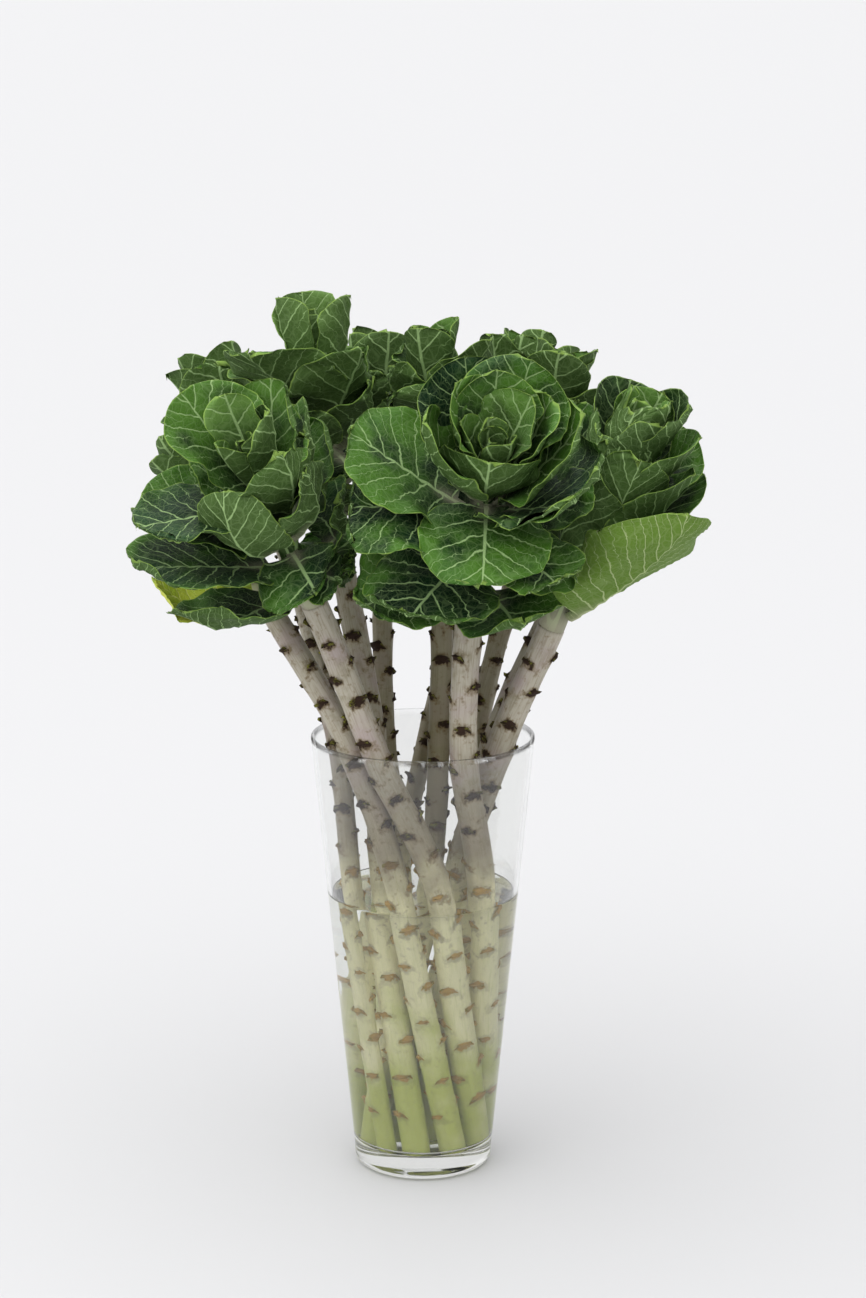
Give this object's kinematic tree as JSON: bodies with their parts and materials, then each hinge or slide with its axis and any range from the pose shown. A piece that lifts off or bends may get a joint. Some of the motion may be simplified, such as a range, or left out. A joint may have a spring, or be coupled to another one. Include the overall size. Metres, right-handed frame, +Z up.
{
  "type": "vase of ornamental cabbage",
  "caption": "Tall conical glass vase of water holding long scarred stems, each topped with a leafy ornamental cabbage head.",
  "frame": {"origin": "middle of the flat underside of the vase", "axes": "+Z up along the vase's axis, +X to the right and -Y to the front of the bunch"},
  "size_m": [0.3783, 0.3418, 0.59],
  "materials": {
    "glass": "clear polished",
    "water": "clear liquid",
    "stem": "matte plant skin",
    "leaf": "satin waxy leaf",
    "light_leaf": "satin waxy leaf",
    "yellow_leaf": "satin waxy leaf"
  },
  "bodies": {
    "root": {"vase": "glass", "water": "water", "stem_left_back": "stem", "stem_left_side": "stem", "stem_left_front": "stem", "stem_left_top": "stem", "stem_back_left": "stem", "stem_back_right": "stem", "stem_middle": "stem", "stem_front": "stem", "stem_right_back": "stem", "stem_right_side": "stem", "stem_right_front": "stem", "head_left_back": "leaf", "head_left_side": "leaf", "head_left_front": "leaf", "head_left_top": "leaf", "head_back_left": "leaf", "head_back_right": "leaf", "head_middle": "leaf", "head_front": "leaf", "head_right_back": "leaf", "head_right_side": "leaf", "head_right_front": "leaf", "yellow_leaf": "yellow_leaf", "light_leaf": "light_leaf"}
  },
  "joints": []
}
